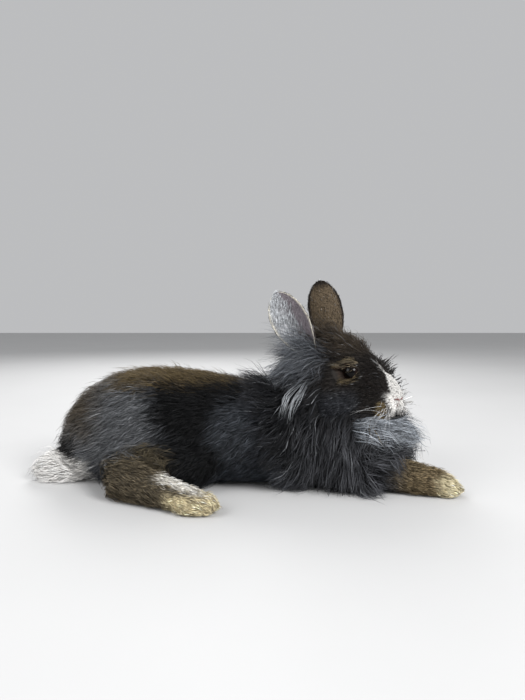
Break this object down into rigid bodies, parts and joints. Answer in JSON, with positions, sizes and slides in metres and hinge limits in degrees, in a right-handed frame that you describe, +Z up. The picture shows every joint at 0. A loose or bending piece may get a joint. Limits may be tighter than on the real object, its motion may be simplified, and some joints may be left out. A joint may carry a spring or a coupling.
{
  "type": "lionhead rabbit model",
  "caption": "Life-size still model of a lionhead rabbit lying with its hind foot out to the side, one forepaw forward and its head raised, with a mane of long locks.",
  "frame": {"origin": "bottom centre of the bounding box, on the floor under the middle of the rabbit", "axes": "+Z up; +X from the rump towards the chest, along the length of the lying body; +Y towards the animal's left side"},
  "size_m": [0.3515, 0.1739, 0.1705],
  "materials": {
    "charcoal_fur": "soft short fur, charcoal black with a white blaze",
    "slate_wool": "long soft wool, slate grey with a brown ticked back",
    "agouti_fur": "short brown ticked fur with cream toes",
    "white_fur": "fluffy white fur",
    "ear_skin": "thin fine-haired skin",
    "eye": "wet and glossy, nearly black"
  },
  "bodies": {
    "root": {"head": "charcoal_fur", "neck": "slate_wool", "torso": "slate_wool", "tail": "white_fur", "foreleg_right": "agouti_fur", "foreleg_left": "agouti_fur", "hindfoot_right": "agouti_fur", "hindfoot_left": "agouti_fur", "hindleg_right": "slate_wool", "hindleg_left": "slate_wool", "ear_right": "ear_skin", "ear_left": "ear_skin", "eye_right": "eye", "eye_left": "eye"}
  },
  "joints": []
}
